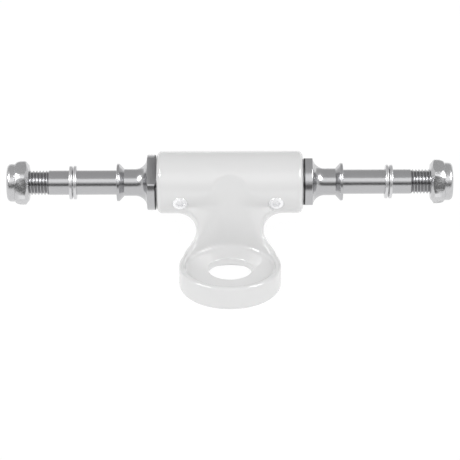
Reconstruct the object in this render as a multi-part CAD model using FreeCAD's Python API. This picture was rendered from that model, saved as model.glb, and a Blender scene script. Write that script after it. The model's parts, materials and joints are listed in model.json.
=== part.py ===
import FreeCAD, Part
import math
import os

# Roller skate truck hanger with two removable axles. Millimetres.
# X runs along the axles, -Y is the kingpin end, +Z is up.
# The origin is on the kingpin hole's axis, in the middle of the web that the hole goes through.
# While the pieces are made, heights are counted from the underside of the ring.

Vector = FreeCAD.Vector

# Places
axle_behind_kingpin = 25.0
axle_height = 24.7

# Cross tube
tube_radius = 10.2
tube_half_length = 23.85
tube_edge_length = 1.3
tube_edge_depth = 2.4

# Ring round the kingpin
ring_radius = 16.5
ring_height = 8.0
ring_edge = 1.1
rim_width = 2.0
rim_edge = 0.55
lower_rim_width = 3.5
seat_depth = 1.85
seat_corner = 1.5
web_thickness = 2.35
kingpin_hole_radius = 7.15

# Neck between ring and tube
neck_waist_half_width = 10.9
neck_waist_below_axle = 15.0
neck_flare_radius = 6.2
neck_spread_angle = 42.0
neck_view_angle = 20.0
neck_side_angle = 20.0
neck_foot_rise = 4.0
neck_foot_inset = 8.9
neck_brow_inset = 4.7
neck_brow_rise = 1.8
neck_top_angle = -24.25
neck_top_depth = 0.22
neck_back_inset = 0.1
neck_back_angle = 51.0

# Clearance channel for the cushion, cut down the neck and the front of the tube
channel_radius = 10.8
channel_lean = 6.5

# Pivot boss and pin
pivot_nose_behind_axle = 20.0
pivot_pin_radius = 5.0
pivot_pin_angle = 36.5
pivot_pin_standout = 9.0
pivot_pin_chamfer = 0.3
pivot_shank_radius = 4.0
pivot_shank_length = 13.0
pivot_boss_radius = 7.8
pivot_boss_end_radius = 6.9
pivot_boss_root = 14.0

# Axles
shank_radius = 4.5
shank_length = 14.85
shank_thread_length = 4.4
flange_gap = 0.2
flange_seat_radius = 6.0
flange_thickness = 2.9
flange_radius = 9.05
flange_flats = 15.1
flange_chamfer = 0.3
flare_radius = 4.0
axle_neck_radius = 4.4
axle_neck_length = 3.5
collar_cone = 0.95
collar_radius = 6.15
collar_length = 2.45
collar_round = 0.3
collar_land = 0.4
journal_radius = 4.0
journal_length = 22.85
thread_pitch = 1.058
thread_depth = 0.55
thread_flat = 0.12
thread_length = 12.5
thread_chamfer = 0.5
left_flats_angle = 56.0
right_flats_angle = 118.0

# Washers, two on each journal where they came to rest between the collar and the nut
washer_radius = 5.5
washer_thickness = 0.95
washer_edge = 0.2
washer_clearance = 0.2
washer_gap = 0.4
left_washer_from_collar = 13.7
right_washer_from_collar = 14.3
left_washer_lean = 0.0
right_washer_lean = 1.9

# Lock nuts
nut_along_thread = 5.85
nut_flats = 13.0
nut_hexagon_length = 4.6
nut_length = 7.2
nut_collar_radius = 6.15
nut_collar_round = 1.3
nut_chamfer = 0.45
nut_lip_thickness = 0.65
nut_lip_radius = 4.7
insert_radius = 5.3
insert_length = 1.7
insert_clearance = 0.05
left_nut_angle = 36.2
right_nut_angle = 42.5

# Grub screws
screw_radius = 2.5
screw_socket = 2.5
screw_socket_depth = 2.4
screw_angle = -18.0
screw_sunk = 0.15
screw_tip_round = 0.6
screw_mouth_chamfer = 0.25
left_screw_inset = 7.65
right_screw_inset = 8.85

# Fits
shank_clearance = 0.08
thread_clearance = 0.1
screw_clearance = 0.05
tip_clearance = 0.1

# What follows from the sizes above; places along the axles are from the middle of the tube
seat_radius = ring_radius - rim_width
lower_seat_radius = ring_radius - lower_rim_width
seat_floor = ring_height - seat_depth
web_underside = seat_floor - web_thickness
shank_end = tube_half_length - shank_length
flange_face = tube_half_length + flange_gap
flange_end = flange_face + flange_thickness
neck_start = flange_end + flare_radius
neck_end = neck_start + axle_neck_length
collar_face = neck_end + collar_length
thread_start = collar_face + journal_length
thread_end = thread_start + thread_length
nut_place = thread_start + nut_along_thread
nut_end = nut_place + nut_length
washer_step = washer_thickness + washer_gap

axle_point = Vector(0, axle_behind_kingpin, axle_height)
along_x = Vector(1, 0, 0)
upward = Vector(0, 0, 1)
far = 200.0


def in_side_plane(y, z):
    return Vector(0, y, z)


def along_axle(x, radius):
    return Vector(x, 0, radius)


def about_kingpin(radius, z):
    return Vector(radius, 0, z)


def closed_wire(steps, place):
    """Lines and arcs through steps. A step is an end point, or a middle point and an end point."""
    edges = []
    last = place(*steps[0])
    for step in steps[1:] + steps[:1]:
        if isinstance(step[0], tuple):
            middle = place(*step[0])
            end = place(*step[1])
            edges.append(Part.Arc(last, middle, end).toShape())
        else:
            end = place(*step)
            edges.append(Part.LineSegment(last, end).toShape())
        last = end
    return Part.Wire(edges)


def turned(steps, place, axis):
    """Solid of revolution of a closed outline about an axis through the origin."""
    face = Part.Face(closed_wire(steps, place))
    return face.revolve(Vector(0, 0, 0), axis, 360)


def side_block(steps, half_width):
    """Block that keeps one side outline over its whole width."""
    face = Part.Face(closed_wire(steps, in_side_plane))
    face.translate(Vector(-half_width, 0, 0))
    return face.extrude(Vector(2 * half_width, 0, 0))


def from_axle(angle, distance):
    """Vector off the axle at an angle above the front."""
    turn = math.radians(angle)
    return Vector(0, -distance * math.cos(turn), distance * math.sin(turn))


def on_side(shape, side):
    """Place a shape that was made along +X on the right axle, or turned round on the left one."""
    if side < 0:
        shape.rotate(Vector(0, 0, 0), upward, 180)
    shape.translate(axle_point)
    return shape


def arc_middle(centre_a, centre_b, radius_a, radius_b, angle):
    turn = math.radians(angle)
    return (centre_a + radius_a * math.cos(turn), centre_b + radius_b * math.sin(turn))


def tube_body():
    edge_start = tube_half_length - tube_edge_length
    face_radius = tube_radius - tube_edge_depth
    right_middle = arc_middle(edge_start, face_radius, tube_edge_length, tube_edge_depth, 45)
    left_middle = (-right_middle[0], right_middle[1])
    steps = [
        (-tube_half_length, 0),
        (-tube_half_length, face_radius),
        (left_middle, (-edge_start, tube_radius)),
        (edge_start, tube_radius),
        (right_middle, (tube_half_length, face_radius)),
        (tube_half_length, 0),
    ]
    tube = turned(steps, along_axle, along_x)
    tube.translate(axle_point)
    return tube


def ring_body():
    inner = ring_radius - ring_edge
    rim = seat_radius + rim_edge
    low_middle = arc_middle(inner, ring_edge, ring_edge, ring_edge, -45)
    high_middle = arc_middle(inner, ring_height - ring_edge, ring_edge, ring_edge, 45)
    rim_middle = arc_middle(rim, ring_height - rim_edge, rim_edge, rim_edge, 135)
    steps = [
        (kingpin_hole_radius, web_underside),
        (lower_seat_radius, web_underside),
        (lower_seat_radius, 0),
        (inner, 0),
        (low_middle, (ring_radius, ring_edge)),
        (ring_radius, ring_height - ring_edge),
        (high_middle, (inner, ring_height)),
        (rim, ring_height),
        (rim_middle, (seat_radius, ring_height - rim_edge)),
        (seat_radius, seat_floor),
        (kingpin_hole_radius, seat_floor),
    ]
    return turned(steps, about_kingpin, upward)


def neck_outline():
    """The neck as it shows from the front: straight to the waist, then spreading to the ring."""
    spread = math.radians(neck_spread_angle)
    centre = neck_waist_half_width + neck_flare_radius
    bend_x = centre - neck_flare_radius * math.cos(spread)
    bend_q = -neck_waist_below_axle - neck_flare_radius * math.sin(spread)
    middle_x = centre - neck_flare_radius * math.cos(spread / 2)
    middle_q = -neck_waist_below_axle - neck_flare_radius * math.sin(spread / 2)
    foot_q = -axle_height - axle_behind_kingpin
    foot_x = bend_x + (bend_q - foot_q) * math.tan(spread)
    waist_x = neck_waist_half_width
    waist_q = -neck_waist_below_axle
    steps = [
        (waist_x, 0),
        (waist_x, waist_q),
        ((middle_x, middle_q), (bend_x, bend_q)),
        (foot_x, foot_q),
        (-foot_x, foot_q),
        (-bend_x, bend_q),
        ((-middle_x, middle_q), (-waist_x, waist_q)),
        (-waist_x, 0),
    ]
    turn = math.radians(neck_view_angle)

    def place(x, q):
        return axle_point + Vector(x, q * math.sin(turn), q * math.cos(turn))

    face = Part.Face(closed_wire(steps, place))
    face.translate(from_axle(neck_view_angle, far))
    return face.extrude(from_axle(neck_view_angle, -2 * far))


def neck_flare():
    """Hollow-sided collar that spreads the top of the neck along the tube."""
    reach = neck_waist_half_width + neck_flare_radius
    outer = tube_radius + neck_flare_radius
    right_middle = arc_middle(reach, outer, neck_flare_radius, neck_flare_radius, 225)
    left_middle = (-right_middle[0], right_middle[1])
    steps = [
        (-reach, 0),
        (-reach, tube_radius),
        (left_middle, (-neck_waist_half_width, outer)),
        (neck_waist_half_width, outer),
        (right_middle, (reach, tube_radius)),
        (reach, 0),
    ]
    flare = turned(steps, along_axle, along_x)
    flare.translate(axle_point)
    return flare


def neck_plan():
    """The neck's foot seen from above: sides that leave the ring on a tangent."""
    turn = math.radians(neck_side_angle)
    start_x = ring_radius * math.cos(turn)
    start_y = ring_radius * math.sin(turn)
    narrow_y = (ring_radius - neck_waist_half_width * math.cos(turn)) / math.sin(turn)
    points = [
        Vector(start_x, start_y, 0),
        Vector(neck_waist_half_width, narrow_y, 0),
        Vector(neck_waist_half_width, far, 0),
        Vector(-neck_waist_half_width, far, 0),
        Vector(-neck_waist_half_width, narrow_y, 0),
        Vector(-start_x, start_y, 0),
    ]
    top = ring_height + neck_foot_rise
    low = Part.Face(Part.makePolygon(points + points[:1])).extrude(Vector(0, 0, top))
    high = Part.makeBox(2 * far, 2 * far, far, Vector(-far, -far, top))
    return low.fuse(high)


def neck_side():
    """The neck seen from the side, from the ring up into the tube."""
    rise = axle_height - ring_edge
    back_foot = ring_radius - neck_back_inset
    back_top = back_foot + rise / math.tan(math.radians(neck_back_angle))
    foot_top = ring_height - ring_edge
    front_top = axle_point + from_axle(neck_top_angle, tube_radius - neck_top_depth)
    steps = [
        (0, ring_edge),
        (0, foot_top),
        (seat_radius - neck_foot_inset, foot_top),
        (seat_radius - neck_brow_inset, ring_height + neck_brow_rise),
        (front_top.y, front_top.z),
        (axle_behind_kingpin, axle_height),
        (back_top, axle_height),
        (back_foot, ring_edge),
    ]
    return side_block(steps, far)


def neck_body():
    side = neck_side()
    shaft = side.common(neck_outline()).common(neck_plan())
    return shaft.fuse(side.common(neck_flare()))


def cushion_seat():
    """Everything cut away from above round the kingpin: the seat and the room above it."""
    corner_middle = arc_middle(
        seat_radius - seat_corner, seat_floor + seat_corner, seat_corner, seat_corner, -45
    )
    steps = [
        (0, seat_floor),
        (seat_radius - seat_corner, seat_floor),
        (corner_middle, (seat_radius, seat_floor + seat_corner)),
        (seat_radius, far),
        (0, far),
    ]
    return turned(steps, about_kingpin, upward)


def channel():
    """Leaning round channel that gives the cushion room in front of the tube."""
    centre_y = seat_radius - channel_radius
    base = Vector(0, centre_y, seat_floor + seat_corner)
    cutter = Part.makeCylinder(channel_radius, far, base)
    cutter.rotate(base, along_x, -channel_lean)
    return cutter


def pivot_axis():
    turn = math.radians(pivot_pin_angle)
    return Vector(0, math.cos(turn), -math.sin(turn))


def pivot_nose_centre():
    return Vector(0, axle_behind_kingpin + pivot_nose_behind_axle, pivot_pin_radius)


def pivot_boss():
    mouth = pivot_nose_centre() - pivot_axis() * pivot_pin_standout
    root = mouth - pivot_axis() * pivot_boss_root
    return Part.makeCone(
        pivot_boss_radius, pivot_boss_end_radius, pivot_boss_root, root, pivot_axis()
    )


def pivot_pin():
    """Pin with a full round nose, and a thinner shank pressed into the boss up to its shoulder."""
    mouth = -pivot_pin_standout
    end = mouth - pivot_shank_length
    nose_middle = arc_middle(0, 0, pivot_pin_radius, pivot_pin_radius, 45)
    steps = [
        (end, 0),
        (end, pivot_shank_radius - pivot_pin_chamfer),
        (end + pivot_pin_chamfer, pivot_shank_radius),
        (mouth, pivot_shank_radius),
        (mouth, pivot_pin_radius - pivot_pin_chamfer),
        (mouth + pivot_pin_chamfer, pivot_pin_radius),
        (0, pivot_pin_radius),
        (nose_middle, (pivot_pin_radius, 0)),
    ]
    shape = turned(steps, along_axle, along_x)
    shape.rotate(Vector(0, 0, 0), upward, 90)
    shape.rotate(Vector(0, 0, 0), along_x, -pivot_pin_angle)
    shape.translate(pivot_nose_centre())
    return shape


def pivot_pin_hole():
    mouth = pivot_nose_centre() - pivot_axis() * pivot_pin_standout
    return Part.makeCylinder(pivot_shank_radius, pivot_shank_length, mouth, -pivot_axis())


def screw_start(side, inset):
    return axle_point + along_x * side * (tube_half_length - inset)


def screw_hole(side, inset):
    turn = from_axle(screw_angle, 1)
    radius = screw_radius + screw_clearance
    start = screw_start(side, inset)
    hole = Part.makeCylinder(radius, tube_radius + far, start, turn)
    mouth_radius = radius + screw_mouth_chamfer
    mouth = Part.makeCone(
        radius, mouth_radius + screw_mouth_chamfer, 2 * screw_mouth_chamfer,
        start + turn * (tube_radius - screw_mouth_chamfer), turn
    )
    return hole.fuse(mouth)


def axle_bore(side):
    radius = shank_radius + shank_clearance
    start = shank_end - shank_clearance * 2
    bore = Part.makeCylinder(radius, far, Vector(start, 0, 0), along_x)
    return on_side(bore, side)


def hanger_casting():
    body = tube_body().fuse([ring_body(), neck_body(), pivot_boss()])
    lower_seat = Part.makeCylinder(lower_seat_radius, web_underside)
    hole = Part.makeCylinder(kingpin_hole_radius, ring_height)
    cutters = [cushion_seat(), channel(), lower_seat, hole, pivot_pin_hole()]
    cutters += [axle_bore(1), axle_bore(-1)]
    cutters += [screw_hole(-1, left_screw_inset), screw_hole(1, right_screw_inset)]
    return body.cut(cutters).removeSplitter()


def thread_steps(start, end, radius):
    """Ridges of a thread from start to end, as root and crest points."""
    steps = []
    half_flat = thread_pitch * thread_flat / 2
    count = int((end - start) / thread_pitch)
    for index in range(count):
        root = start + (index + 0.5) * thread_pitch
        crest = start + (index + 1) * thread_pitch
        steps.append((root - half_flat, radius - thread_depth))
        steps.append((root + half_flat, radius - thread_depth))
        steps.append((crest - half_flat, radius))
        steps.append((crest + half_flat, radius))
    return steps


def axle(side, flats_angle):
    cone_end = neck_end + collar_cone
    cone_radius = axle_neck_radius + collar_cone
    shank_thread_start = shank_end + thread_chamfer
    steps = [
        (shank_end, 0),
        (shank_end, shank_radius - thread_chamfer),
        (shank_thread_start, shank_radius),
    ]
    steps += thread_steps(shank_thread_start, shank_thread_start + shank_thread_length, shank_radius)
    flare_middle = arc_middle(
        neck_start, axle_neck_radius + flare_radius, flare_radius, flare_radius, 225
    )
    rim_start = collar_face - collar_round - collar_land
    shoulder_middle = arc_middle(
        rim_start, cone_radius, rim_start - cone_end, collar_radius - cone_radius, 135
    )
    round_middle = arc_middle(
        collar_face - collar_round, collar_radius - collar_round, collar_round, collar_round, 45
    )
    steps += [
        (tube_half_length, shank_radius),
        (tube_half_length, flange_seat_radius),
        (flange_face, flange_seat_radius),
        (flange_face, flange_radius - flange_chamfer),
        (flange_face + flange_chamfer, flange_radius),
        (flange_end - flange_chamfer, flange_radius),
        (flange_end, flange_radius - flange_chamfer),
        (flange_end, axle_neck_radius + flare_radius),
        (flare_middle, (neck_start, axle_neck_radius)),
        (neck_end, axle_neck_radius),
        (cone_end, cone_radius),
        (shoulder_middle, (rim_start, collar_radius)),
        (collar_face - collar_round, collar_radius),
        (round_middle, (collar_face, collar_radius - collar_round)),
        (collar_face, journal_radius),
        (thread_start, journal_radius),
    ]
    steps += thread_steps(thread_start, thread_end - thread_chamfer, journal_radius)
    steps += [
        (thread_end - thread_chamfer, journal_radius),
        (thread_end, journal_radius - thread_chamfer),
        (thread_end, 0),
    ]
    shape = on_side(turned(steps, along_axle, along_x), side)
    for turn in (0, 180):
        shape = shape.cut(flat_cutter(side, flats_angle + turn))
    return shape


def flat_cutter(side, angle):
    """Block beyond one wrench flat of the flange."""
    size = 4 * flange_radius
    length = neck_end - flange_face
    block = Part.makeBox(length, size, size, Vector(flange_face, -size / 2, flange_flats / 2))
    block.rotate(Vector(0, 0, 0), along_x, 90 - angle if side > 0 else angle - 90)
    return on_side(block, side)


def washer(side, from_collar, lean):
    inner = journal_radius + washer_clearance
    half = washer_thickness / 2
    steps = [
        (-half, inner + washer_edge),
        (-half, washer_radius - washer_edge),
        (-half + washer_edge, washer_radius),
        (half - washer_edge, washer_radius),
        (half, washer_radius - washer_edge),
        (half, inner + washer_edge),
        (half - washer_edge, inner),
        (-half + washer_edge, inner),
    ]
    shape = turned(steps, along_axle, along_x)
    shape.rotate(Vector(0, 0, 0), Vector(0, 1, 0), lean)
    shape.translate(Vector(collar_face + from_collar, 0, 0))
    return on_side(shape, side)


def nut(side, angle):
    corner = nut_flats / math.sqrt(3)
    hexagon_end = nut_place + nut_hexagon_length
    points = []
    for index in range(7):
        turn = math.radians(60 * index)
        points.append(Vector(nut_place, -corner * math.cos(turn), corner * math.sin(turn)))
    hexagon = Part.Face(Part.makePolygon(points)).extrude(Vector(nut_hexagon_length, 0, 0))
    slope = math.tan(math.radians(30))
    envelope = turned(
        [
            (nut_place, 0),
            (nut_place, corner - nut_chamfer),
            (nut_place + nut_chamfer * slope, corner),
            (hexagon_end - (corner - nut_collar_radius) * slope, corner),
            (hexagon_end, nut_collar_radius),
            (hexagon_end, 0),
        ],
        along_axle, along_x
    )
    dome = nut_collar_radius - nut_collar_round
    dome_middle = arc_middle(nut_end - nut_collar_round, dome, nut_collar_round, nut_collar_round, 45)
    collar = turned(
        [
            (hexagon_end, 0),
            (hexagon_end, nut_collar_radius),
            (nut_end - nut_collar_round, nut_collar_radius),
            (dome_middle, (nut_end, dome)),
            (nut_end, 0),
        ],
        along_axle, along_x
    )
    room_end = nut_end - nut_lip_thickness
    room_start = room_end - insert_length - 2 * insert_clearance
    bore = journal_radius + thread_clearance
    hollow = turned(
        [
            (nut_place, 0),
            (nut_place, bore + nut_chamfer),
            (nut_place + nut_chamfer, bore),
            (room_start, bore),
            (room_start, insert_radius + insert_clearance),
            (room_end, insert_radius + insert_clearance),
            (room_end, nut_lip_radius),
            (nut_end, nut_lip_radius),
            (nut_end, 0),
        ],
        along_axle, along_x
    )
    shape = hexagon.common(envelope).fuse(collar).cut(hollow)
    shape.rotate(Vector(0, 0, 0), along_x, -angle if side > 0 else angle)
    return on_side(shape, side)


def nut_insert(side):
    room_end = nut_end - nut_lip_thickness - insert_clearance
    bore = journal_radius + thread_clearance
    steps = [
        (room_end - insert_length, bore),
        (room_end - insert_length, insert_radius),
        (room_end, insert_radius),
        (room_end, bore),
    ]
    return on_side(turned(steps, along_axle, along_x), side)


def grub_screw(side, inset):
    tip = shank_radius + tip_clearance
    end = tube_radius - screw_sunk
    steps = [
        (0, tip),
        (screw_radius - screw_tip_round, tip),
        (screw_radius, tip + screw_tip_round),
        (screw_radius, end - screw_mouth_chamfer),
        (screw_radius - screw_mouth_chamfer, end),
        (0, end),
    ]
    shape = turned(steps, about_kingpin, upward)
    corner = screw_socket / math.sqrt(3)
    points = []
    for index in range(7):
        turn = math.radians(60 * index + 30)
        points.append(Vector(corner * math.cos(turn), corner * math.sin(turn), end - screw_socket_depth))
    socket = Part.Face(Part.makePolygon(points)).extrude(Vector(0, 0, screw_socket_depth))
    shape = shape.cut(socket)
    shape.rotate(Vector(0, 0, 0), along_x, 90 - screw_angle)
    shape.translate(screw_start(side, inset))
    return shape


def save(name, shape):
    shape.translate(Vector(0, 0, -(web_underside + seat_floor) / 2))
    print(name, "solids", len(shape.Solids), "valid", shape.isValid(), "volume", round(shape.Volume, 2))
    shape.exportStep(os.path.join("parts", name + ".step"))


def main():
    os.makedirs("parts", exist_ok=True)
    save("hanger_casting", hanger_casting())
    save("pivot_pin", pivot_pin())
    save("left_axle", axle(-1, left_flats_angle))
    save("right_axle", axle(1, right_flats_angle))
    save("left_inner_washer", washer(-1, left_washer_from_collar, left_washer_lean))
    save("left_outer_washer", washer(-1, left_washer_from_collar + washer_step, left_washer_lean))
    save("right_inner_washer", washer(1, right_washer_from_collar, right_washer_lean))
    save("right_outer_washer", washer(1, right_washer_from_collar + washer_step, right_washer_lean))
    save("left_lock_nut", nut(-1, left_nut_angle))
    save("right_lock_nut", nut(1, right_nut_angle))
    save("left_nut_insert", nut_insert(-1))
    save("right_nut_insert", nut_insert(1))
    save("left_grub_screw", grub_screw(-1, left_screw_inset))
    save("right_grub_screw", grub_screw(1, right_screw_inset))


main()
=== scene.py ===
import json
import math
from collections import namedtuple

import bmesh
import bpy
from mathutils import Matrix, Vector


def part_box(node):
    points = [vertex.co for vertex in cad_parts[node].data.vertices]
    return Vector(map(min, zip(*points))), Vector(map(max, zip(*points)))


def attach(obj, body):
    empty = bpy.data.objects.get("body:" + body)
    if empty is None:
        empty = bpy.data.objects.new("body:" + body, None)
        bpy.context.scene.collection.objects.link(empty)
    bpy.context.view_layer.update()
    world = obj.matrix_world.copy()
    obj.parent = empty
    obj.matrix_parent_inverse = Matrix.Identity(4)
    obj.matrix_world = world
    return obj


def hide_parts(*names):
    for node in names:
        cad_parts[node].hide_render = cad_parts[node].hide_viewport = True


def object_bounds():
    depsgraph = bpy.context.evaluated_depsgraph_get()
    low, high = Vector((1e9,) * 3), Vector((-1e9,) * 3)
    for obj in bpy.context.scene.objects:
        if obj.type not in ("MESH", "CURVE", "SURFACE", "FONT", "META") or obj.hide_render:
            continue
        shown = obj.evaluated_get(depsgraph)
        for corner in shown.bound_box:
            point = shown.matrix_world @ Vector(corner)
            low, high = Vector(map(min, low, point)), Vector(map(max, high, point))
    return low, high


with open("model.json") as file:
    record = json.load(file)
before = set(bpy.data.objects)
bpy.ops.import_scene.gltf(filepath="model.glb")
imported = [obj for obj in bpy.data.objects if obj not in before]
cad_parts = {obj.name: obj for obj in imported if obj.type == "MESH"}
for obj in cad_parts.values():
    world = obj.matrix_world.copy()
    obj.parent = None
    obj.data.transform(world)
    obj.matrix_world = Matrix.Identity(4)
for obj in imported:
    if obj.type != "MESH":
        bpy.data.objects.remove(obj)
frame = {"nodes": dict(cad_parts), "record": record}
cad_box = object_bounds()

bl_info = {
    "name": "Skate truck hanger",
    "version": (1, 0, 0),
    "blender": (4, 5, 0),
    "location": "3D View > Sidebar > Skate truck",
    "description": "White cast hanger with two removable plated axles and their fastenings",
    "category": "Object",
}

# Metres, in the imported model's frame: X along the axles, -Y towards the kingpin, Z up.
MM = 0.001

# Points nearer to each other than this are one point. The turns of a thread meet less exactly.
WELD = 0.0005 * MM
THREAD_WELD = 0.01 * MM

# Steps in a full turn, and the bend above which an edge shows as sharp.
AROUND = 96
SMOOTH_ANGLE = math.radians(33)

# The sockets of a colour Mix node go by number, because its other kinds share their names.
MIX_FACTOR, MIX_FIRST, MIX_SECOND, MIX_RESULT = 0, 6, 7, 2

# Lamps: degrees from the camera's side and above the axles, size in metres, watts at full power,
# and whether they light the surfaces and show in them.
LAMP_DISTANCE = 1.6
Lamp = namedtuple("Lamp", "name azimuth elevation width height watts diffuse glossy")
LAMPS = (
    Lamp("front_lamp", 0, 44, 2.2, 0.95, 9.0, True, True),
    Lamp("left_lamp", -68, 34, 0.8, 0.8, 8.5, True, False),
    Lamp("left_glint", -68, 40, 0.8, 0.5, 40.0, False, True),
    Lamp("right_lamp", 68, 34, 0.8, 0.8, 8.5, True, False),
    Lamp("right_glint", 68, 40, 0.8, 0.5, 40.0, False, True),
    Lamp("fill_lamp", 0, 30, 1.2, 1.2, 6.0, True, False),
)

# Where the parts of the sky fade, by the Z and Y of the direction that is looked in.
ZENITH_FADE = (0.0, 0.5)
FRONT_TOP, FRONT_SIDE = (0.24, 0.32), (0.3, 0.7)
BACK_TOP, BACK_SIDE = (0.06, 0.16), (0.3, 0.6)

# Rays that tell the floor who looks at it, its own colour, and the strength of its glow.
RAYS = ("Is Camera Ray", "Is Glossy Ray", "Is Transmission Ray")
FLOOR_WHITE = (0.97, 0.97, 0.97, 1)
FLOOR_STRENGTH = 1.03

SENSOR_WIDTH = 36.0

record = frame["record"]
mounts = {mount["name"]: mount for mount in record["mounts"]}
joint_axes = {joint["name"]: Vector(joint["axis"]) for joint in record["behaviour"]["joints"]}
bodies = {node: body for body, nodes in record["behaviour"]["bodies"].items() for node in nodes}
sides = {"left": Vector((-1, 0, 0)), "right": Vector((1, 0, 0))}

axle_line = Vector((0, *mounts["right_wheel_journal"]["pos_m"][1:]))
tube_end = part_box("hanger_casting")[1].x
tube_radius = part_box("hanger_casting")[1].z - axle_line.z


def length(name, description, size):
    return bpy.props.FloatProperty(
        name=name, description=description, default=size * MM, unit="LENGTH", precision=5
    )


def angle(name, description, degrees):
    return bpy.props.FloatProperty(
        name=name, description=description, default=math.radians(degrees), subtype="ANGLE"
    )


def share(name, description, value):
    return bpy.props.FloatProperty(
        name=name, description=description, default=value, min=0, max=1, subtype="FACTOR"
    )


def count(name, description, value):
    return bpy.props.IntProperty(name=name, description=description, default=value, min=0)


def colour(name, description, shade):
    return bpy.props.FloatVectorProperty(
        name=name, description=description, default=shade, subtype="COLOR", size=3, min=0, max=1
    )


class CastingSettings(bpy.types.PropertyGroup):
    grid: length("Grid", "Size of the grid that the casting is drawn on", 0.34)
    edge_passes: count("Edge passes", "Smoothing passes that round every edge", 4)
    blend_passes: count("Blend passes", "Further passes where the neck runs into the tube", 160)
    blend_steps: count("Blend steps", "Steps in which the blend draws in", 8)
    blend_reach: length("Blend reach", "How far round the top of the neck the blend reaches", 13.0)
    blend_shrink: share("Blend shrink", "How much of its reach the blend loses in the end", 0.5)
    blend_forward: length("Blend forward", "From the axles forward to the blend's middle", 13.5)
    blend_below: length("Blend below", "From the axles down to the blend's middle", 9.0)
    screw_hole: length("Screw hole", "Radius of the grub screws' holes", 2.55)
    hole_chamfer: length("Hole chamfer", "Chamfer at the mouths of the holes", 0.15)
    coat: colour("Coat", "Colour of the powder coat", (0.77, 0.77, 0.77))
    gloss: share("Gloss", "Weight of the coat's gloss", 0.9)
    peel_size: length("Peel size", "Width of the coat's orange peel", 0.9)
    peel_depth: length("Peel depth", "Depth of the coat's orange peel", 0.004)
    swell_size: length("Swell size", "Width of the coat's long swell", 8.1)
    swell_depth: length("Swell depth", "Depth of the coat's long swell", 0.012)
    cloud_size: length("Cloud size", "Width of the faint clouds in the coat's tone", 14.4)


class AxleSettings(bpy.types.PropertyGroup):
    shank_radius: length("Shank radius", "Part that screws into the tube", 4.5)
    shank_thread: length("Shank thread", "Length of the thread on the shank", 4.4)
    seat_radius: length("Seat radius", "Spigot that stands the flange off the tube", 6.0)
    seat_gap: length("Seat gap", "Gap between the tube and the flange", 0.2)
    flange_radius: length("Flange radius", "Outside of the round flange", 9.05)
    flange_thickness: length("Flange thickness", "Along the axle", 2.9)
    flange_round: length("Flange round", "Rounding of the flange's rims", 0.3)
    flats: length("Flats", "Distance across the two wrench flats", 15.1)
    flat_edge: length("Flat edge", "Rounding of the flats' edges", 0.1)
    left_flats: angle("Left flats", "How far the left flats are turned up from the front", 56.0)
    right_flats: angle("Right flats", "How far the right flats are turned up from the front", 118.0)
    flare_radius: length("Flare radius", "Hollow between flange and neck", 4.0)
    neck_radius: length("Neck radius", "Thin neck behind the collar", 4.4)
    neck_length: length("Neck length", "Length of the thin neck", 3.5)
    shoulder: length("Shoulder", "Length of the cone that leads up to the collar's rim", 1.45)
    collar_radius: length("Collar radius", "Collar that the bearing rests on", 6.15)
    collar_length: length("Collar length", "Along the axle, with its cone", 2.45)
    collar_round: length("Collar round", "Rounding of the collar's rim", 0.3)
    journal_radius: length("Journal radius", "Plain part that the bearings run on", 4.0)
    journal_length: length("Journal length", "Plain part that the bearings run on", 22.15)
    pitch: length("Pitch", "Pitch of the threads", 1.058)
    thread_depth: length("Thread depth", "Crest to root", 0.55)
    thread_flat: share("Thread flat", "Flat on the crest and in the root, as a share of the pitch", 0.12)
    chamfer: length("Chamfer", "Chamfer at the ends", 0.5)
    steel: colour("Steel", "Colour of the bright plating", (0.49, 0.49, 0.50))
    # Painted shade: how dark the plating is painted down in the threads.
    thread_shade_tone: share("Groove tone", "Tone down in the threads, against the plating's", 0.25)
    thread_shade_edge: length("Groove edge", "How far below a thread's crest it starts to darken", 0.12)
    # Painted shadow: a dark ring painted on the rim of the flange's back, where it faces the narrow gap to
    # the tube.
    gap_shadow_tone: share("Rim tone", "Tone at the rim of the flange's back, against the plating's", 0.1)
    gap_shadow_width: length("Rim shadow", "Width of the dark rim", 1.2)
    gap_shadow_fade: length("Rim fade", "Width over which the dark rim fades", 0.6)


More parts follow.
